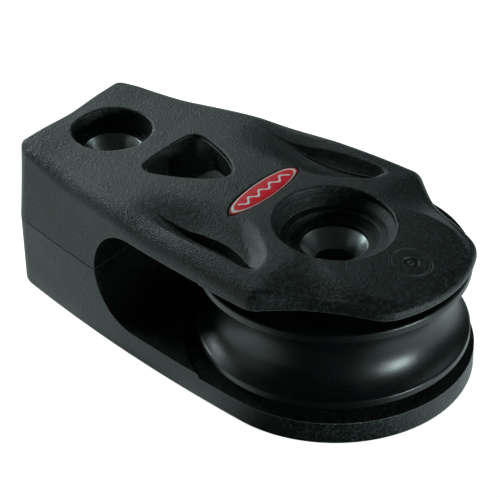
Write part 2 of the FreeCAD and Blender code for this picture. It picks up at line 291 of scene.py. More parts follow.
def top_height(x, y):
    """Circle of NOSE_CROWN_R towards the nose and eased steps towards the tail, less each shape in it."""
    nose_side = np.clip(x - CROWN_X, 0, None) ** 2 / (2 * NOSE_CROWN_R)
    tail_end = smooth(-x, *TAIL_END_FROM_TO)
    height = TOP_Z - nose_side - TAIL_FALL * smooth(-x, *TAIL_FALL_FROM_TO) + TAIL_LIFT * tail_end
    height = height - NOSE_FALL * np.clip(x - NOSE_FALL_X, 0, None) ** 2
    beside = np.clip(np.abs(y) - SIDE_FALL_Y, 0, None)
    height = height - SIDE_FALL * beside ** 2 * smooth(x, *SIDE_FALL_FROM_TO)
    beyond = np.hypot(x - BEVEL_X, y) - BEVEL_R
    bevel = 0.5 * (beyond + np.sqrt(beyond ** 2 + BEVEL_SOFT)) * smooth(x, *BEVEL_FROM_TO)
    valley = VALLEY_DEPTH * np.exp(-(y / VALLEY_WIDTH) ** 2) * tail_end
    return height - dish(x, y) - BEVEL_SLOPE * bevel - valley


def on_top(places, up=0.0):
    """Places in plan, set this far above the top's surface."""
    return level(places, top_height(places[:, 0], places[:, 1]) + up)


sample = np.array([-41.8, -25.0, -13.0, 8.75, 20.5])
print("height along the spine:", np.round(top_height(sample, 0 * sample), 2))


# %% [markdown]
# ## The cover's solid
# The cover starts as one closed surface. Its rows climb the wall, turn over a rounded edge and run in
# across the top to a line down the middle. The rounded edge is wide along the flanks and narrow at the
# tail, the scallops and the nose.

# %% Build the cover's blank
FLANK_R, BROAD_R = 1.6, 1.2            # rounding of the top edge by the tail, and what the flanks add
BOSS_LOSS, NOSE_LOSS, FACE_LOSS = 0.4, 1.6, 0.8       # what it loses by the boss, at the nose, at the tail
LEAN, TAIL_LEAN, FACE_SHARE = 0.25, 0.80, 0.65


def edge_radius(points, outward):
    """Radius of the top edge: full along the flanks, small round the nose and on the tail's face."""
    x, facing_tail = points[:, 0], np.clip(-outward[:, 0], 0, 1)
    flank = FLANK_R + BROAD_R * smooth(x, -48.0, -38.0)
    flank = flank - BOSS_LOSS * smooth(x, -16.0, -2.0) - NOSE_LOSS * smooth(x, -2.0, 12.0)
    return flank - FACE_LOSS * facing_tail ** 4


def wall_lean(points, outward):
    """How far the wall leans in by its top: most beside the tail, little on the tail's face and nose."""
    flank = LEAN + TAIL_LEAN * smooth(-points[:, 0], 20.0, 46.0)
    return flank * (1 - FACE_SHARE * outward[:, 0] ** 6)


SPINE_TAIL, SPINE_NOSE = 13.0, 12.0     # how far the centre line stops short of each end


def spine_of(points):
    """The place on the centre line that each outline point runs in to."""
    return level(np.clip(points[:, :1], TAIL_X + SPINE_TAIL, NOSE_R - SPINE_NOSE), 0)


def shell_rows(plan, bottom_z, rows):
    """Rows of (inset, height) round the plan, closed underneath on the centre line."""
    points, outward = plan
    spine = spine_of(points)
    return [level(spine, bottom_z)] + [level(points - outward * inset, height) for inset, height in rows]


TOP_ROWS = 64                          # rows of points from the edge in to the middle of the top
SEAM = 0.16                            # tiny break where the shells meet, which draws the parting line


def cover_blank():
    points, outward = cover_plan
    spine, radius, lean = spine_of(points), edge_radius(*cover_plan), wall_lean(*cover_plan)
    inner = points - outward * (lean + radius)[:, None]
    edge_top = top_height(inner[:, 0], inner[:, 1])
    wall_top = edge_top - radius
    grid = shell_rows(cover_plan, PART_Z, [(SEAM, PART_Z), (0.0, PART_Z + SEAM)])
    for share in (0.25, 0.5, 0.75):
        place = points - outward * (lean * share)[:, None]
        grid.append(level(place, PART_Z + SEAM + share * (wall_top - PART_Z - SEAM)))
    for turn in np.radians(np.linspace(0, 90, 13)):
        place = points - outward * (lean + radius * (1 - np.cos(turn)))[:, None]
        grid.append(level(place, wall_top + radius * np.sin(turn)))
    for share in np.linspace(0, 1, TOP_ROWS)[1:]:
        grid.append(on_top(inner + share * (spine - inner)))
    return grid_piece("cover_moulding", np.array(grid))


cover = cover_blank()
print("cover blank:", len(cover.data.polygons), "faces")


# %% [markdown]
# ## Cutting with solids
# Holes, pockets and the line's way through are cut by subtracting closed solids, as a mould's cores leave
# them. The Boolean modifier's manifold solver is quick and exact when both meshes are closed. It is
# applied at once, and the cutting solids are thrown away.

# %% Subtract solids from a piece
def cut(piece, tools):
    for tool in tools:
        step = piece.modifiers.new("cut", "BOOLEAN")
        step.operation, step.solver, step.object = "DIFFERENCE", "MANIFOLD", tool
        bpy.context.view_layer.update()
        result = bpy.data.meshes.new_from_object(piece.evaluated_get(bpy.context.evaluated_depsgraph_get()))
        piece.modifiers.clear()
        if len(result.polygons) == 0:
            raise ValueError(f"{tool.name} left nothing of {piece.name}")
        piece.data = result
        print(f"  {tool.name}: {len(result.polygons)} faces")
        bpy.data.objects.remove(tool)


def finish_mesh(piece, degrees=28):
    """Smooth shading that breaks at every edge sharper than this angle."""
    piece.data.name = piece.name
    piece.data.polygons.foreach_set("use_smooth", np.ones(len(piece.data.polygons), bool))
    piece.data.set_sharp_from_angle(angle=np.radians(degrees))


# %% [markdown]
# ## Holes that follow the crown
# The crown is curved, so the rim of a hole isn't flat. A pocket's tool is a stack of rings of the same
# plan shape. The upper rings turn outwards in a short arc whose height is read from the crown at each
# point, and that leaves a rim of even roundness all the way round.

# %% Make a pocket tool from a plan shape
ABOVE = 34.0                           # tools reach this high, clear of the cover
RIM_STOP, RIM_RUN = np.radians(76), 2.5    # the rim's arc stops short of level, then runs on straight


def pocket(name, plan, outward, levels, rim):
    """levels are (offset, height) rings from the bottom up; rim is the radius of the rounded rim."""
    middle = 0 * plan + plan.mean(axis=0)
    rings = [level(middle, levels[0][1])]
    rings += [level(plan + outward * offset, height) for offset, height in levels]
    lip = plan + outward * levels[-1][0]
    surface = on_top(lip)[:, 2]
    for turn in np.linspace(0, RIM_STOP, 8):
        rings.append(level(lip + outward * rim * (1 - np.cos(turn)), surface - rim * (1 - np.sin(turn))))
    run = RIM_RUN * rim
    place = rings[-1][:, :2] + outward * run * np.sin(RIM_STOP)
    rings.append(level(place, rings[-1][:, 2] + run * np.cos(RIM_STOP)))
    rings += [level(place, ABOVE), level(middle, ABOVE)]
    return grid_piece(name, np.array(rings))


def circle_plan(x, radius, count=160):
    outward = directions(count)[1]
    return [x, 0.0] + radius * outward, outward


# %% [markdown]
# ## The line's way through
# The sheave turns in a round well, and the line leaves it through a throat that runs straight across the
# block. The well is a turned tool that leaves each shell's post standing, and the throat is a rounded slot.

# %% Make the well and throat tools
WELL_R, POST_R = 21.9, 7.0
POST_LOW_TOP, POST_HIGH_BOTTOM = 8.6, 14.6
THROAT_X, THROAT_LOW, THROAT_HIGH = -31.3, 4.3, 20.4
THROAT_STOP_X, THROAT_HALF_WIDTH = -9.0, 30.0     # the well takes over at THROAT_STOP_X


def well_tool():
    return turned("well", [
        (0, POST_LOW_TOP), (POST_R, POST_LOW_TOP), (POST_R, WELL_FLOOR), (WELL_R, WELL_FLOOR),
        (WELL_R, WELL_ROOF), (POST_R, WELL_ROOF), (POST_R, POST_HIGH_BOTTOM), (0, POST_HIGH_BOTTOM)],
        segments=240)


def throat_tool():
    """Rounded slot: a half circle at the tail end, two straight sides, carried across the block."""
    radius, middle = 0.5 * (THROAT_HIGH - THROAT_LOW), 0.5 * (THROAT_HIGH + THROAT_LOW)
    angle = np.radians(np.linspace(90, 270, 49))
    section = np.stack([THROAT_X + radius + radius * np.cos(angle), middle + radius * np.sin(angle)], 1)
    section = np.concatenate([section, [(THROAT_STOP_X, THROAT_LOW), (THROAT_STOP_X, THROAT_HIGH)]])
    centre = np.array([0.5 * (THROAT_X + THROAT_STOP_X), middle])
    rows = []
    for y, share in ((-1, 0), (-1, 1), (0, 1), (1, 1), (1, 0)):
        rows.append(level(centre + share * (section - centre), y * THROAT_HALF_WIDTH)[:, [0, 2, 1]])
    return grid_piece("throat", np.array(rows))


# %% [markdown]
# ## Stepped holes for the screws
# Each screw goes down a stepped hole whose bottom is the flared end of a stainless tube. The ledges are
# crisp, so that the edge wear of the finish, partly wear and partly a painted glint, draws a thin bright
# ring round each of them.

# %% Make the tools for the two screw holes
SCREW_R, TUBE_R, TUBE_GAP = 2.75, 3.6, 0.03
FOOT_R, FOOT_H, LIP_H, LIP_WALL = 5.2, 1.2, 0.75, 0.2
HOLES = {                              # shelf is the ledge just outside the tube's lip
    "axle_tube": dict(x=0.0, lip_r=4.95, lip_z=axle_tube_high[2], shelf_z=20.5, well_r=8.75,
                      steps=[(6.35, 20.55), (6.6, 21.4), (7.85, 21.5)], well_z=(21.7, 22.75), rim=0.3),
    "tail_tube": dict(x=HOLE_X, lip_r=4.65, lip_z=tail_tube_high[2], shelf_z=20.6, well_r=6.0,
                      steps=[(5.45, 20.7)], well_z=(20.9, 22.3), rim=0.4)}
STEP_ROUND, OVERLAP = 0.03, 0.01       # rounding of a ledge; how far one tool bites into the next
STEP_RISE = 0.7                        # how far a seat tool runs up past its last step


def seat_tool(node):
    """Turned tool from under the deck face up past the last step, a little wider than the tube."""
    hole, gap = HOLES[node], TUBE_GAP
    lip_r, lip_z, steps = hole["lip_r"], hole["lip_z"], hole["steps"]
    cone_z = lip_z - (lip_r - SCREW_R)
    corners = [(FOOT_R + gap, -1), (FOOT_R + gap, FOOT_H + gap), (TUBE_R + gap, FOOT_H + gap),
               (TUBE_R + gap, cone_z - LIP_H + LIP_WALL - 2 * gap),
               (lip_r + gap, lip_z - LIP_H - 2 * gap), (lip_r + gap, hole["shelf_z"])]
    top = (steps[-1][0] + 2 * OVERLAP, steps[-1][1] + STEP_RISE)
    radii = [0] * (len(corners) - 1) + [STEP_ROUND] * (len(steps) + 1) + [0]
    profile = rounded(corners + steps + [top], radii)
    profile = np.concatenate([[(0, -1)], profile, [(0, top[1])]])
    return turned(node + "_seat", profile, x=hole["x"], segments=160)


def mouth_tool(node):
    """Round pocket from the last step of the hole up through the top, with a rounded rim."""
    hole = HOLES[node]
    plan, outward = circle_plan(hole["x"], hole["well_r"])
    drop = hole["steps"][-1][0] + OVERLAP - hole["well_r"]
    return pocket(node + "_mouth", plan, outward, list(zip((drop, 0.0), hole["well_z"])), hole["rim"])


# %% [markdown]
# ## The window
# A rounded triangle goes through the roof of the throat, so that water drains and the line can be seen.
# Its plan is one smooth formula: four half planes are blended, and the blend's power sets how round the
# corners are. Lower down, its two tail corners are filled by sloping ramps.

# %% Make the window's tool
WINDOW_X = -26.5
WINDOW_SIDES = [(180.0, 5.0), (68.5, 5.07), (-68.5, 5.07), (0.0, 8.3)]   # direction, distance of each side
WINDOW_POWER, WINDOW_RIM, WINDOW_Z = 3.0, 0.3, (23.65, 23.75)
RAMP_REACH, RAMP_SLANT, RAMP_POWER = 5.3, 0.98, 9
CORE_GAP, RAMP_GAP, CORE_Z = 0.12, 0.14, (14.0, 22.0, 23.85)    # heights: bottom, foot of the ramps, top


def blended(angle, sides, power):
    """Distance to the edge: ((sum of (cos(a - side) / distance)^power))^(-1 / power)."""
    total = 0
    for direction, distance in sides:
        total = total + (np.clip(np.cos(angle - np.radians(direction)), 0, None) / distance) ** power
    return total ** (-1 / power)


def window_tool():
    """A pocket for the rim, and a core below it: the plan cut back by two slanting lines, the ramps."""
    angle, heading = directions(144)
    centre = np.array([WINDOW_X, 0.0])
    rim = blended(angle, WINDOW_SIDES, WINDOW_POWER)
    slant = RAMP_SLANT * np.abs(np.sin(angle)) - np.cos(angle)
    ramp = RAMP_REACH / np.clip(slant, 0.05, None)
    deep = (rim ** -RAMP_POWER + ramp ** -RAMP_POWER) ** (-1 / RAMP_POWER)
    plan = centre + heading * rim[:, None]
    deep_plan = centre + heading * (deep - RAMP_GAP)[:, None]
    step = np.roll(plan, -1, 0) - np.roll(plan, 1, 0)
    outward = np.stack([step[:, 1], -step[:, 0]], 1) / np.linalg.norm(step, axis=1)[:, None]
    tool = pocket("window", plan, outward, list(zip((-CORE_GAP, 0.0), WINDOW_Z)), WINDOW_RIM)
    bottom, foot, top = CORE_Z
    rings = [(centre, bottom), (deep_plan, bottom), (deep_plan, foot), (plan - outward * CORE_GAP, top),
             (centre, top)]
    core = grid_piece("window_core", np.array([level(0 * plan + ring, height) for ring, height in rings]))
    return [core, tool]


# %% [markdown]
# ## The leaf-shaped scoops
# Beside the boss the mould leaves a long leaf-shaped hollow on each flank. It starts as a hairline near
# the tail and ends deep and round. Its inner wall is steep, its floor climbs outwards, and a fine ridge
# runs along the floor. One parameter runs along the leaf, the other across it.

# %% Make the scoops' tool
LEAF_INNER = [(-25.5, 13.2), (-20.0, 13.2), (-16.5, 13.0), (-13.3, 12.4), (-9.1, 12.4), (-5.0, 13.7),
              (-2.3, 15.2)]
LEAF_OUTER = [(-25.5, 13.3), (-20.0, 14.0), (-16.5, 14.7), (-13.0, 15.4), (-8.0, 16.0), (-4.0, 16.2),
              (-2.2, 15.5)]
LEAF_DEPTH, LEAF_LEAST, LEAF_LIP = 1.7, 0.02, 0.05
LEAF_GROWS, LEAF_ENDS = (0.0, 0.6), (0.92, 1.0)       # shares of the length where it deepens and stops
LEAF_PROFILE = [(0, 0.0), (0.12, 0.95), (0.30, 1.0), (0.44, 0.34), (0.52, 0.32), (0.64, 0.72), (0.82, 0.50),
                (1, 0.0)]              # depth across the leaf: wall, gutter, ridge, second gutter, edge


def smooth_curve(points, count):
    """Catmull-Rom curve: a cubic between each two points whose ends run parallel to their neighbours."""
    points = np.asarray(points, float)
    padded = np.concatenate([[2 * points[0] - points[1]], points, [2 * points[-1] - points[-2]]])
    t = np.linspace(0, len(points) - 1 - 1e-9, count)
    k, u = np.floor(t).astype(int), (t % 1)[:, None]
    a, b, c, d = (padded[k + i] for i in range(4))
    return 0.5 * (2 * b + (c - a) * u + (2 * a - 5 * b + 4 * c - d) * u ** 2
                  + (3 * b - a - 3 * c + d) * u ** 3)


def scoop_tool(side):
    """Place across the leaf runs from its inner to its outer line, and depth follows LEAF_PROFILE."""
    inner, outer = smooth_curve(LEAF_INNER, 90), smooth_curve(LEAF_OUTER, 90)
    along, share = np.linspace(0, 1, 90), np.linspace(0, 1, 25)
    across = np.interp(share, *np.transpose(LEAF_PROFILE))
    amount = smooth(along, *LEAF_GROWS) * (1 - smooth(along, *LEAF_ENDS)) + LEAF_LEAST
    floor = inner[:, None] + share[None, :, None] * (outer - inner)[:, None]
    depth = LEAF_DEPTH * amount[:, None] * across[None, :]
    lift = LEAF_LIP * (np.abs(2 * share - 1) ** 6)[None, :]
    low = top_height(floor[..., 0], floor[..., 1]) - depth + lift
    loop_xy = np.concatenate([floor, floor[:, ::-1]], axis=1)
    loop_z = np.concatenate([low, np.full_like(low, ABOVE)], axis=1)
    grid = np.concatenate([loop_xy * [1, side], loop_z[..., None]], axis=2)
    ends = [grid[:1].mean(axis=1, keepdims=True) + 0 * grid[:1], grid,
            grid[-1:].mean(axis=1, keepdims=True) + 0 * grid[-1:]]
    return grid_piece("scoop", np.concatenate(ends))


# %% [markdown]
# ## Badge pocket and the mark at the nose
# The badge sits in a shallow oval pocket across the block. At the nose there is a small round moulded
# mark: a fine ring with a dot, plain and meaning nothing.

# %% Make the badge pocket and mark tools
BADGE_X = 0.5 * (badge_low[0] + badge_high[0])
BADGE_LONG, BADGE_WIDE = badge_high[1], 0.5 * (badge_high[0] - badge_low[0])
BADGE_GAP, BADGE_DEPTH = 0.12, 0.75
BADGE_WALL = [(0.0, -0.16), (0.05, -0.05), (0.35, 0.3)]    # (outwards, above the crown) up the pocket's wall
MARK_X, MARK_R, MARK_W, DOT_R, DOT_W = 13.3, 2.9, 0.30, 0.8, 0.9
MARK_SECTION = [(-0.3, -0.20), (0.3, -0.20), (0.62, 0.25), (-0.62, 0.25)]   # (widths outwards, height)


def oval_plan(grow, count=160):
    around, half = directions(count)[1], np.array([BADGE_WIDE, BADGE_LONG]) + grow
    outward = around * half[::-1]
    return [BADGE_X, 0.0] + around * half, outward / np.linalg.norm(outward, axis=1)[:, None]


def badge_pocket():
    """Oval whose floor lies BADGE_DEPTH under the crown at every point."""
    plan, outward = oval_plan(BADGE_GAP)
    centre = np.array([BADGE_X, 0.0])
    rings = [on_top(centre + share * (plan - centre), -BADGE_DEPTH) for share in np.linspace(0, 1, 9)]
    surface = on_top(plan)[:, 2]
    rings += [level(plan + outward * out, surface + up) for out, up in BADGE_WALL]
    rings += [level(rings[-1][:, :2], ABOVE), level(0 * plan + centre, ABOVE)]
    return grid_piece("badge_pocket", np.array(rings))


def mark_tool(radius, width):
    """Ring with a shallow V section that follows the nose's slope."""
    rings = [on_top(circle_plan(MARK_X, radius + out * width, 72)[0], up) for out, up in MARK_SECTION]
    return grid_piece("mark", np.array(rings), closed_rows=True)


# %% Cut the cover
cut(cover, [well_tool(), throat_tool()] + [seat_tool(node) for node in HOLES]
    + [mouth_tool(node) for node in HOLES] + window_tool()
    + [scoop_tool(1), scoop_tool(-1), badge_pocket(), mark_tool(MARK_R, MARK_W), mark_tool(DOT_R, DOT_W)])
finish_mesh(cover)
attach(cover, "housing")
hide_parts("cover_shell")
print("cover:", len(cover.data.polygons), "faces")


# %% [markdown]
# ## The base
# The lower shell carries the sheave's post and the deck face. Its walls lean out slightly from the deck
# to the parting plane, the draft that lets a moulding leave its tool.

# %% Build and cut the base
DRAFT, DECK_EDGE, DECK_MID = 0.1, 0.5, 0.14    # DECK_MID: how far in and up the edge's middle lies


def base_blank():
    lean = DRAFT / PART_Z
    rows = [(DRAFT + DECK_EDGE, 0.0), (DRAFT + DECK_MID, DECK_MID), (DRAFT - lean * DECK_EDGE, DECK_EDGE)]
    rows += [(DRAFT * (1 - share), PART_Z * share) for share in (0.25, 0.5, 0.75)]
    rows += [(SEAM * lean, PART_Z - SEAM), (SEAM, PART_Z)]
    grid = shell_rows(base_plan, 0.0, rows)
    grid.append(level(spine_of(base_plan[0]), PART_Z))
    return grid_piece("base_moulding", np.array(grid))


base = base_blank()
cut(base, [well_tool(), throat_tool()] + [seat_tool(node) for node in HOLES])
finish_mesh(base)
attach(base, "housing")
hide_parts("base_shell")
print("base:", len(base.data.polygons), "faces")


# %% [markdown]
# ## The sheave
# The wheel is one turned profile: thin flanges with rounded rims, and a round groove for the line. Inside
# are a shallow recess at each end for the bearing's collars and a half-round race for each row of balls.

# %% Turn the sheave
GROOVE_DEPTH, FLANGE, RIM_ROUND = 3.3, 1.1, 0.35
BORE_R, COLLAR_R, RECESS = 11.1, 13.6, 1.2
GROOVE_INSET, GROOVE_LIP, FLANGE_END, FLANGE_TAPER = 0.12, 0.2, 0.15, 1.2
BALL_R, BALL_PITCH_R, ROW_OFFSET, RACE_GAP = 2.0, 10.2, 3.2, 0.05


def arc_through(start, depth, end, count):
    """Circle through two rim points that reaches inwards by depth between them."""
    start, end = np.array(start, float), np.array(end, float)
    half = 0.5 * np.linalg.norm(end - start)
    radius = (half ** 2 + depth ** 2) / (2 * depth)
    centre = np.array([start[0] - depth + radius, 0.5 * (start[1] + end[1])])
    spread = np.arcsin(half / radius) * np.linspace(-1, 1, count)
    return np.stack([centre[0] - radius * np.cos(spread), centre[1] + radius * np.sin(spread)], axis=1)


def race(middle_z):
    """Half-round race: the part of a circle about the ball's centre that lies outside the bore."""
    radius = BALL_R + RACE_GAP
    start = np.arccos((BORE_R - BALL_PITCH_R) / radius)
    turn = np.linspace(start, -start, 15)
    return np.stack([BALL_PITCH_R + radius * np.cos(turn), middle_z + radius * np.sin(turn)], axis=1)


def sheave_profile():
    low, high = sheave_low[2], sheave_high[2]
    middle = 0.5 * (low + high)
    outside = rounded([(COLLAR_R, low), (SHEAVE_R, low), (SHEAVE_R, low + FLANGE),
                       (SHEAVE_R - FLANGE_TAPER, middle)], [0.1, RIM_ROUND, 0.3, 0])[:-1]
    groove = arc_through((SHEAVE_R - GROOVE_INSET, low + FLANGE + GROOVE_LIP), GROOVE_DEPTH - GROOVE_INSET,
                         (SHEAVE_R - GROOVE_INSET, high - FLANGE - GROOVE_LIP), 41)
    outside = outside[outside[:, 1] < low + FLANGE + FLANGE_END]
    upper = outside[::-1] * [1, -1] + [0, low + high]
    inside = np.concatenate([[(COLLAR_R, high - RECESS), (BORE_R, high - RECESS)],
                             race(middle + ROW_OFFSET), race(middle - ROW_OFFSET),
                             [(BORE_R, low + RECESS), (COLLAR_R, low + RECESS)]])
    return np.concatenate([outside, groove, upper, inside])


sheave = turned("sheave_wheel", sheave_profile(), segments=256, closed=True)
finish_mesh(sheave, 35)
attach(sheave, "sheave")
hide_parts("sheave")
print("sheave:", len(sheave.data.polygons), "faces")


# %% [markdown]
# ## The screw tubes
# The axle and the tail fastening are hollow stainless tubes. A flat foot sits in the deck face, and the
# upper end is flared into a countersunk seat for the screw's head.

# %% Turn the two screw tubes
TUBE_ROUNDS = [0.15, 0.12, 0.12, 0.1, 0.1, 0.05, 0.07, 0.1, 0.3]    # one for each corner of the profile


def tube_profile(lip_r, lip_z):
    cone_z = lip_z - (lip_r - SCREW_R)
    corners = [(SCREW_R, 0), (FOOT_R, 0), (FOOT_R, FOOT_H), (TUBE_R, FOOT_H),
               (TUBE_R, cone_z - LIP_H + LIP_WALL), (lip_r, lip_z - LIP_H), (lip_r, lip_z),
               (lip_r - LIP_WALL, lip_z), (SCREW_R, cone_z - LIP_WALL)]
    return rounded(corners, TUBE_ROUNDS)


for node, hole in HOLES.items():
    profile = tube_profile(hole["lip_r"], hole["lip_z"])
    tube = turned(node.replace("tube", "screw_tube"), profile, x=hole["x"], segments=128, closed=True)
    finish_mesh(tube, 35)
    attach(tube, "housing")
    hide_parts(node)
    print(tube.name, len(tube.data.polygons), "faces")


# %% [markdown]
# ## The badge
# A thin oval plate of red enamel lies across the block. It is a dome of rings: a flat underside, a short
# wall, a rounded edge and a top that swells a little above its rim.

# %% Build the badge
BADGE_WALL_Z, BADGE_UNDER_Z, BADGE_RIM_Z = -0.30, -0.74, -0.16      # heights below the crown
BADGE_EDGE, BADGE_SWELL = 0.055, 0.12  # width of the rounded edge as a share, and the dome's rise


def build_badge():
    """Rings of (share of the plan, height above the crown): underside, wall, rounded edge and dome."""
    plan, centre = oval_plan(0.0)[0], np.array([BADGE_X, 0.0])
    levels = [(0.0, BADGE_UNDER_Z), (0.5, BADGE_UNDER_Z), (1.0, BADGE_UNDER_Z), (1.0, BADGE_WALL_Z)]
    levels += [(1 - BADGE_EDGE * (1 - np.cos(t)), BADGE_WALL_Z + (BADGE_RIM_Z - BADGE_WALL_Z) * np.sin(t))
               for t in np.radians([30, 60, 90])]
    levels += [(share, BADGE_RIM_Z + BADGE_SWELL * (1 - share ** 2)) for share in np.linspace(0.93, 0, 10)]
    return grid_piece("badge_plate", np.array([on_top(centre + share * (plan - centre), up)
                                               for share, up in levels]))


badge = build_badge()
finish_mesh(badge, 40)
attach(badge, "housing")
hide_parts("badge")
print("badge:", len(badge.data.polygons), "faces")


# %% [markdown]
# ## Shared surface effects
# Two effects are used by several finishes, so each is a node group built once. Spark grain is the fine
# pitted texture that a spark-eroded mould leaves on nylon. Edge wear finds the convex edges by comparing
# the true normal with one that has been rounded off, and paints them lighter: partly rubbed wear, partly a
# painted highlight for the glint that light draws along each edge.

# %% Helpers for node groups and materials
def link(tree, source, target):
    """Joins an output to an input, or sets the input to a plain number or colour."""
    if isinstance(source, bpy.types.NodeSocket):
        tree.links.new(source, target)
    else:
        target.default_value = (*source, 1) if isinstance(source, tuple) else source


def fill(tree, node, **values):
    """Gives each named input of a node its value or its link."""
    for label, value in values.items():
        link(tree, value, node.inputs[label.replace("_", " ")])
    return node


def new_node(tree, kind, **values):
    return fill(tree, tree.nodes.new("ShaderNode" + kind), **values)


def new_group(name, inputs, outputs):
    """A shader group whose inputs and outputs are all plain numbers."""
    group = bpy.data.node_groups.new(name, "ShaderNodeTree")
    for label, default in inputs.items():
        socket = group.interface.new_socket(name=label, in_out="INPUT", socket_type="NodeSocketFloat")
        socket.default_value = default
    for label in outputs:
        group.interface.new_socket(name=label, in_out="OUTPUT", socket_type="NodeSocketFloat")
    return group, group.nodes.new("NodeGroupInput"), group.nodes.new("NodeGroupOutput")


def calc(tree, operation, *values):
    node = new_node(tree, "Math")
    node.operation = operation
    for socket, value in zip(node.inputs, values):
        link(tree, value, socket)
    return node.outputs[0]


def object_coords(tree):
    return new_node(tree, "TexCoord").outputs["Object"]


def noise(tree, scale, detail=3.0, rough=0.55):
    return new_node(tree, "TexNoise", Vector=object_coords(tree), Scale=scale, Detail=detail,
                    Roughness=rough).outputs["Fac"]


# %% Spark grain group
COARSE_SCALE, COARSE_SHARE = 0.37, 0.6


def build_spark_grain():
    """Height = (fine noise + COARSE_SHARE x coarser noise) back in 0 to 1; Mottle = a slow drift."""
    given = {"Scale": 5000.0, "Drift Scale": 220.0}
    group, given, out = new_group("spark_grain", given, ["Height", "Mottle"])
    fine = noise(group, given.outputs["Scale"], 2.0, 0.6)
    coarse = noise(group, calc(group, "MULTIPLY", given.outputs["Scale"], COARSE_SCALE), 2.0, 0.5)
    height = calc(group, "MULTIPLY_ADD", coarse, COARSE_SHARE, fine)
    fill(group, out, Height=calc(group, "MULTIPLY", height, 1 / (1 + COARSE_SHARE)),
         Mottle=noise(group, given.outputs["Drift Scale"], 4.0))
    return group


# %% Edge wear and painted glint group
WEAR_GLINT_REACH, WEAR_GLINT_FROM = 0.00025, 0.08  # metres that the rub and its painted glint reach from an edge, and the bend that starts them


def build_edge_wear_and_glint():
    """Wear and painted glint = (1 - dot(true normal, rounded normal) - the starting bend) x Strength, broken
    up by noise.
    """
    group, given, out = new_group("edge_wear_and_glint", {"Strength": 6.0, "Breakup Scale": 900.0}, ["Wear"])
    dot = new_node(group, "VectorMath")
    dot.operation = "DOT_PRODUCT"
    link(group, new_node(group, "Bevel", Radius=WEAR_GLINT_REACH).outputs["Normal"], dot.inputs[0])
    link(group, new_node(group, "NewGeometry").outputs["Normal"], dot.inputs[1])
    bend = calc(group, "SUBTRACT", 1.0, dot.outputs["Value"])
    sharp = calc(group, "MAXIMUM", calc(group, "SUBTRACT", bend, WEAR_GLINT_FROM), 0.0)
    wear_glint = calc(group, "MULTIPLY", sharp, given.outputs["Strength"])
    wear_glint = calc(group, "MULTIPLY", wear_glint, noise(group, given.outputs["Breakup Scale"]))
    fill(group, out, Wear=calc(group, "MINIMUM", wear_glint, 1.0))
    return group


spark_grain, edge_wear_and_glint = build_spark_grain(), build_edge_wear_and_glint()
print("groups:", spark_grain.name, edge_wear_and_glint.name)


# %% [markdown]
# ## Black plastics
# All the black parts are plastics, but they don't look alike. The shells are matt glass-filled nylon with
# a spark texture. The sheave is smooth acetal with a soft satin sheen. One function builds both, and only
# its numbers differ: the two ends of the drift of tone, the flecks where the grain stands proud, the worn
# edges with their painted glint, the roughness and how strong the grain is.

# %% Helpers that the finishes share
def place_group(tree, group, **values):
    node = tree.nodes.new("ShaderNodeGroup")
    node.node_tree = group
    return fill(tree, node, **values)


RAMP_STOPS = (0.3, 0.7)


def ramp(tree, factor, low, high):
    """Colour between low and high as the factor goes over RAMP_STOPS, the usual spread of a noise."""
    node = new_node(tree, "ValToRGB", Fac=factor)
    stops = node.color_ramp.elements
    stops[0].position, stops[1].position = RAMP_STOPS
    stops[0].color, stops[1].color = (*low, 1), (*high, 1)
    return node.outputs["Color"]


def mix_colour(tree, factor, a, b):
    node = new_node(tree, "Mix")
    node.data_type = "RGBA"
    return fill(tree, node, Factor=factor, A=a, B=b).outputs["Result"]


def rise(tree, value, low, high):
    """Eased step from 0 at low to 1 at high."""
    node = new_node(tree, "MapRange", Value=value, From_Min=low, From_Max=high)
    node.interpolation_type = "SMOOTHSTEP"
    return node.outputs["Result"]


def bumpy(tree, height, **values):
    return new_node(tree, "Bump", Height=height, **values).outputs["Normal"]


def new_material(name, **values):
    """A material, its node tree and its shader, with plain values set on the shader's own inputs."""
    material = bpy.data.materials.new(name)
    material.use_nodes = True
    tree = material.node_tree
    return material, tree, fill(tree, tree.nodes["Principled BSDF"], **values)


# %% Build the black plastics
DRIFT_SCALE, DRIFT_ROUGH = 240.0, 0.16
# Edge wear and its painted glint: the mask's strength and breakup, and how far it lowers roughness.
WEAR_GLINT_STRENGTH, WEAR_GLINT_BREAKUP, WEAR_POLISH = 5.0, 1400.0, 0.18
FLECK_FROM_TO = (0.50, 0.62)           # heights of the grain over which the flecks come in
GRAIN_ROUGH, GRAIN_DEPTH, SOFT_EDGE = 0.5, 0.00018, 0.00016     # the last two in metres


def black_plastic(name, low, high, fleck, wear_glint_colour, rough, grain, grain_scale, specular):
    """Roughness = rough + a little of the drift and grain about their middles, less the polish of the worn
    edges. Their colour is partly rubbed wear and partly a painted highlight of their glint.
    """
    material, tree, shader = new_material(name, Specular_IOR_Level=specular)
    texture = place_group(tree, spark_grain, Scale=grain_scale, Drift_Scale=DRIFT_SCALE)
    height, mottle = texture.outputs["Height"], texture.outputs["Mottle"]
    wear_glint = place_group(tree, edge_wear_and_glint, Strength=WEAR_GLINT_STRENGTH, Breakup_Scale=WEAR_GLINT_BREAKUP).outputs["Wear"]
    flecked = mix_colour(tree, rise(tree, height, *FLECK_FROM_TO), ramp(tree, mottle, low, high), fleck)
    middle = rough - 0.5 * (DRIFT_ROUGH + GRAIN_ROUGH * grain)
    uneven = calc(tree, "MULTIPLY_ADD", mottle, DRIFT_ROUGH, middle)
    uneven = calc(tree, "MULTIPLY_ADD", height, GRAIN_ROUGH * grain, uneven)
    soft = new_node(tree, "Bevel", Radius=SOFT_EDGE).outputs["Normal"]
    # The worn colour lightens the convex edges: partly rubbed wear, partly a painted highlight of their
    # glint.
    fill(tree, shader, Base_Color=mix_colour(tree, wear_glint, flecked, wear_glint_colour),
         Roughness=calc(tree, "MULTIPLY_ADD", wear_glint, -WEAR_POLISH, uneven),
         Normal=bumpy(tree, height, Strength=grain, Distance=GRAIN_DEPTH, Normal=soft))
    return material
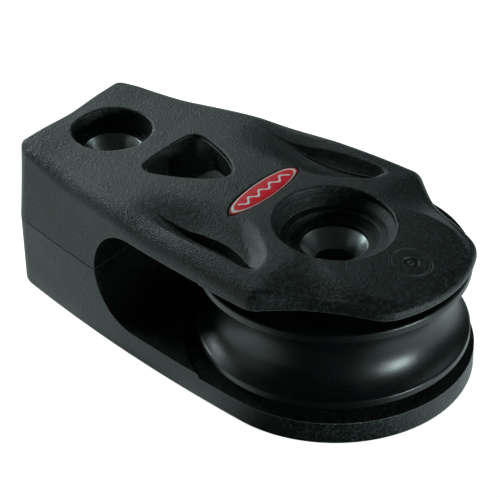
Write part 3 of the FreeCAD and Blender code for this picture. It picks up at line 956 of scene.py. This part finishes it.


# Each worn colour is partly rubbed edge and partly a painted highlight, bright enough to show in dark holes.
nylon = black_plastic(
    "spark_textured_nylon", low=(0.0028, 0.0042, 0.0041), high=(0.0055, 0.0076, 0.0073),
    fleck=(0.032, 0.041, 0.040), wear_glint_colour=(0.30, 0.34, 0.33), rough=0.44, grain=1.0, grain_scale=4600.0,
    specular=0.29)
acetal = black_plastic(
    "satin_acetal", low=(0.0016, 0.0024, 0.0025), high=(0.0030, 0.0040, 0.0041),
    fleck=(0.006, 0.008, 0.008), wear_glint_colour=(0.26, 0.30, 0.30), rough=0.32, grain=0.15, grain_scale=7000.0,
    specular=0.42)
bearing = black_plastic(
    "bearing_acetal", low=(0.006, 0.007, 0.007), high=(0.011, 0.012, 0.012),
    fleck=(0.015, 0.016, 0.016), wear_glint_colour=(0.06, 0.06, 0.06), rough=0.36, grain=0.15, grain_scale=6000.0,
    specular=0.5)
print("plastics:", nylon.name, acetal.name, bearing.name)


# %% [markdown]
# ## Stainless, balls and enamel
# The tubes are turned stainless: fine rings run round them, so the bump is a wave in height. The balls are
# polished white acetal with a faint clouding. The badge's red has a pale line inside its edge and a small
# wave down its middle, both drawn from its own oval coordinates.

# %% Build the stainless and ball finishes
def clouded(tree, shader, clouds, low, high, rough, spread):
    """Colour from low to high and roughness from rough to rough + spread, both as the clouds go."""
    fill(tree, shader, Base_Color=ramp(tree, clouds, low, high),
         Roughness=calc(tree, "MULTIPLY_ADD", clouds, spread, rough))


def stainless_finish():
    material, tree, shader = new_material("turned_stainless", Metallic=1.0)
    clouded(tree, shader, noise(tree, 600.0, 4.0), (0.44, 0.48, 0.47), (0.56, 0.60, 0.59), 0.24, 0.16)
    rings = new_node(tree, "TexWave", Vector=object_coords(tree), Scale=1800.0, Distortion=1.5)
    rings.bands_direction = "Z"
    fill(tree, shader, Normal=bumpy(tree, rings.outputs["Fac"], Strength=0.25, Distance=0.00002))
    return material


def ball_finish():
    material, tree, shader = new_material("polished_ball")
    clouded(tree, shader, noise(tree, 900.0), (0.70, 0.69, 0.65), (0.84, 0.83, 0.80), 0.14, 0.12)
    return material


# %% Build the badge's finish
BORDER, BORDER_SOFT, GAP_SHADE_BAND = (0.84, 0.91), 0.02, (0.938, 0.962)     # shares of the oval's radius
WAVE_TURN, WAVE_SIZE, WAVE_EDGE, WAVE_END = 2.6, 0.42, (0.15, 0.25), (5.3, 5.5)


def oval_share(tree, x, y, half_x, half_y):
    """sqrt((x / half_x)^2 + (y / half_y)^2): 0 in the middle of an oval and 1 on its outline."""
    squares = []
    for value, half in ((x, half_x), (y, half_y)):
        share = calc(tree, "DIVIDE", value, half)
        squares.append(calc(tree, "MULTIPLY", share, share))
    return calc(tree, "SQRT", calc(tree, "ADD", *squares))


def band(tree, value, low, high, soft):
    """1 where the value lies between low and high, with soft edges."""
    start, end = rise(tree, value, low - soft, low + soft), rise(tree, value, high - soft, high + soft)
    return calc(tree, "SUBTRACT", start, end)


def within(tree, value, edge):
    """1 where the size of the value is less than the edge, which has a soft start and end."""
    return calc(tree, "SUBTRACT", 1.0, rise(tree, calc(tree, "ABSOLUTE", value), *edge))


def enamel_finish():
    """The wave's line is where |across - WAVE_SIZE sin(WAVE_TURN along)| is small, both in millimetres."""
    material, tree, shader = new_material("red_enamel", Specular_IOR_Level=0.15)
    place = new_node(tree, "SeparateXYZ", Vector=object_coords(tree)).outputs
    across = calc(tree, "MULTIPLY_ADD", place["X"], 1 / MM, -BADGE_X)
    along = calc(tree, "MULTIPLY", place["Y"], 1 / MM)
    oval = oval_share(tree, across, along, BADGE_WIDE, BADGE_LONG)
    ripple = calc(tree, "SINE", calc(tree, "MULTIPLY", along, WAVE_TURN))
    off_line = calc(tree, "MULTIPLY_ADD", ripple, -WAVE_SIZE, across)
    wave = calc(tree, "MULTIPLY", within(tree, off_line, WAVE_EDGE), within(tree, along, WAVE_END))
    marks = calc(tree, "MAXIMUM", band(tree, oval, *BORDER, BORDER_SOFT), wave)
    clouds = noise(tree, 700.0)
    red = ramp(tree, clouds, (0.92, 0.012, 0.032), (1.0, 0.020, 0.046))
    painted = mix_colour(tree, marks, red, (0.96, 0.93, 0.91))
    # Painted shade: the badge's rounded edge goes nearly black, standing in for the shadow in the gap round
    # it.
    rim = rise(tree, oval, *GAP_SHADE_BAND)
    fill(tree, shader, Base_Color=mix_colour(tree, rim, painted, (0.02, 0.008, 0.009)),
         Roughness=calc(tree, "MULTIPLY_ADD", clouds, 0.15, 0.32))
    return material


stainless, ball_white, enamel = stainless_finish(), ball_finish(), enamel_finish()
print("materials:", sorted(m.name for m in bpy.data.materials))


# %% [markdown]
# ## Dress every piece
# Pieces from the frame whose shape is already right, the hub halves and the balls, keep their meshes and
# only get a finish. They are found by the material slot that the record gives them.

# %% Assign the finishes
FINISH = {"body_moulding": nylon, "sheave_moulding": acetal, "bearing_plastic": bearing,
          "ball_plastic": ball_white, "stainless": stainless, "badge_enamel": enamel}


def dress(piece, material):
    piece.data.materials.clear()
    piece.data.materials.append(material)


for part in frame["record"]["subparts"]:
    dress(frame["nodes"][part["node"]], FINISH[part["material_slot"]])
for piece, material in ((cover, nylon), (base, nylon), (sheave, acetal), (badge, enamel),
                        (bpy.data.objects["axle_screw_tube"], stainless),
                        (bpy.data.objects["tail_screw_tube"], stainless)):
    dress(piece, material)
print("dressed", len(frame["nodes"]), "nodes and 6 new pieces")


# %% [markdown]
# ## Floor, light and camera
# Black parts are shaped by what they reflect. Two soft lights behind the tail lay a sheen on the top, one
# from the left fills the near flank, a low one in front draws the highlights in the groove, and a weak one
# lights the far side. The floor is white paper that glows faintly, like the sweep in a light tent, except
# where the block stands and where it shades the paper in front of it. A mirror-dark part would otherwise
# reflect white paper where the real one reflects its own shadow.

# %% Lay the floor
LIGHT_TINT = (0.82, 1.0, 0.98)
FLOOR_HALF, FLOOR_Z = 1.6, -0.00005    # metres; a hair under the deck face, so the two never coincide
PAPER_GLOW = 0.9                       # what the camera sees
FLOOR_GLOW, FLOOR_SHADE = 1.05, 0.04   # what the object sees: lit paper, and the block's own shadow
SHADE_FROM_TO, SHADE_SOFT = (-1.75, -0.35), 0.35      # the shadow's headings from +X, in radians
COVERED_FROM_TO = (0.85, 1.0)          # shares of the block's outline over which its cover ends


def choose_shader(tree, factor, first, second, output):
    """Surface = first where the factor is 0, second where it is 1."""
    choose = new_node(tree, "MixShader", Fac=factor)
    link(tree, first, choose.inputs[1])
    link(tree, second, choose.inputs[2])
    link(tree, choose.outputs[0], output.inputs["Surface"])
    return choose.outputs[0]


def show_camera_rays(tree, others, camera, output):
    """One shader for what the camera sees directly, another for every other ray."""
    is_camera = new_node(tree, "LightPath").outputs["Is Camera Ray"]
    return choose_shader(tree, is_camera, others, camera, output)


def floor_glow(tree):
    """FLOOR_GLOW, less in the shaded headings, and none on the floor that the block covers."""
    place = new_node(tree, "SeparateXYZ", Vector=object_coords(tree)).outputs
    shade = band(tree, calc(tree, "ARCTAN2", place["Y"], place["X"]), *SHADE_FROM_TO, SHADE_SOFT)
    glow = calc(tree, "MULTIPLY_ADD", shade, FLOOR_SHADE - FLOOR_GLOW, FLOOR_GLOW)
    middle, half = 0.5 * (NOSE_R + TAIL_X) * MM, 0.5 * (NOSE_R - TAIL_X) * MM
    share = oval_share(tree, calc(tree, "SUBTRACT", place["X"], middle), place["Y"], half, NOSE_R * MM)
    return calc(tree, "MULTIPLY", glow, rise(tree, share, *COVERED_FROM_TO))


def paper_finish():
    """Paper seen from above; its back lets everything through, so the deck face can be looked at."""
    material, tree, shader = new_material(
        "white_sweep", Roughness=0.9, Specular_IOR_Level=0.1, Emission_Color=(1, 1, 1),
        Emission_Strength=PAPER_GLOW)
    fill(tree, shader, Base_Color=ramp(tree, noise(tree, 60.0), (0.90, 0.90, 0.90), (0.93, 0.93, 0.93)))
    glow = new_node(tree, "Emission", Color=LIGHT_TINT, Strength=floor_glow(tree))
    output = tree.nodes["Material Output"]
    front = show_camera_rays(tree, glow.outputs[0], shader.outputs[0], output)
    back = new_node(tree, "BsdfTransparent").outputs[0]
    choose_shader(tree, new_node(tree, "NewGeometry").outputs["Backfacing"], front, back, output)
    return material


def lay_floor():
    corners = [(-1, -1), (1, -1), (1, 1), (-1, 1)]
    mesh = bpy.data.meshes.new("floor")
    mesh.from_pydata([(x * FLOOR_HALF, y * FLOOR_HALF, FLOOR_Z) for x, y in corners], [], [(0, 1, 2, 3)])
    floor = bpy.data.objects.new("floor", mesh)
    bpy.context.scene.collection.objects.link(floor)
    dress(floor, paper_finish())


lay_floor()
print("floor:", 2 * FLOOR_HALF, "m square")


# %% Hang the lights
MIDDLE = (-0.02, 0.0, 0.015)           # every light faces this place, in metres
LIGHTS = {                             # place in metres, width in metres, power in watts
    "tail_key": ((-0.38, 0.21, 0.18), 0.24, 0.72),
    "tail_low": ((-0.43, -0.01, 0.20), 0.14, 0.9),
    "flank_fill": ((-0.30, -0.30, 0.10), 0.30, 0.15),
    "front_soft": ((0.40, 0.03, 0.04), 0.12, 1.8),
    "far_soft": ((0.16, 0.30, 0.34), 0.16, 0.12)}
ROOM_GLOW = 0.014


def area_light(name, place, size, power):
    """A soft square light; its back looks along the line from MIDDLE to its place."""
    data = bpy.data.lights.new(name, "AREA")
    data.shape, data.size, data.energy, data.color = "SQUARE", size, power, LIGHT_TINT
    lamp = bpy.data.objects.new(name, data)
    lamp.location = place
    lamp.rotation_euler = (Vector(place) - Vector(MIDDLE)).to_track_quat("Z", "Y").to_euler()
    bpy.context.scene.collection.objects.link(lamp)


def soft_room():
    """A dim room that looks white where the camera sees past the floor."""
    world = bpy.data.worlds.new("soft_room")
    bpy.context.scene.world = world
    world.use_nodes = True
    tree = world.node_tree
    room = fill(tree, tree.nodes["Background"], Color=LIGHT_TINT, Strength=ROOM_GLOW)
    paper = new_node(tree, "Background", Color=(1, 1, 1))
    show_camera_rays(tree, room.outputs[0], paper.outputs[0], tree.nodes["World Output"])


for name, (place, size, power) in LIGHTS.items():
    area_light(name, place, size, power)
soft_room()
bpy.context.scene.view_settings.view_transform = "Standard"
print("lights:", list(LIGHTS))


# %% Set up the camera
AZIMUTH, ELEVATION, ROLL = np.radians([39.15, 34.45, -1.06])
DISTANCE, SIDEWAYS, UPWARDS = 0.35609, -0.012316, 0.015926
LENS, SENSOR = 174.33, 36.0


def add_camera():
    """The camera stands DISTANCE back along its axis and is slid sideways and upwards off it."""
    back = np.array([np.sin(AZIMUTH) * np.cos(ELEVATION), -np.cos(AZIMUTH) * np.cos(ELEVATION),
                     np.sin(ELEVATION)])
    level = np.array([np.cos(AZIMUTH), np.sin(AZIMUTH), 0.0])
    upright = np.cross(back, level)
    right = np.cos(ROLL) * level + np.sin(ROLL) * upright
    up = -np.sin(ROLL) * level + np.cos(ROLL) * upright
    data = bpy.data.cameras.new("camera")
    data.lens, data.sensor_width, data.clip_start = LENS, SENSOR, 0.01
    camera = bpy.data.objects.new("camera", data)
    bpy.context.scene.collection.objects.link(camera)
    matrix = np.eye(4)
    matrix[:3, :3] = np.stack([right, up, back], axis=1)
    matrix[:3, 3] = SIDEWAYS * right + UPWARDS * up + DISTANCE * back
    camera.matrix_world = Matrix(matrix.tolist())
    bpy.context.scene.camera = camera
    return camera


camera = add_camera()
print("camera at", [round(v, 3) for v in camera.matrix_world.translation])


# %% [markdown]
# Last, the view layer is brought up to date. The dressed model must stay inside the box of the imported
# one.

# %% Finish
bpy.context.view_layer.update()
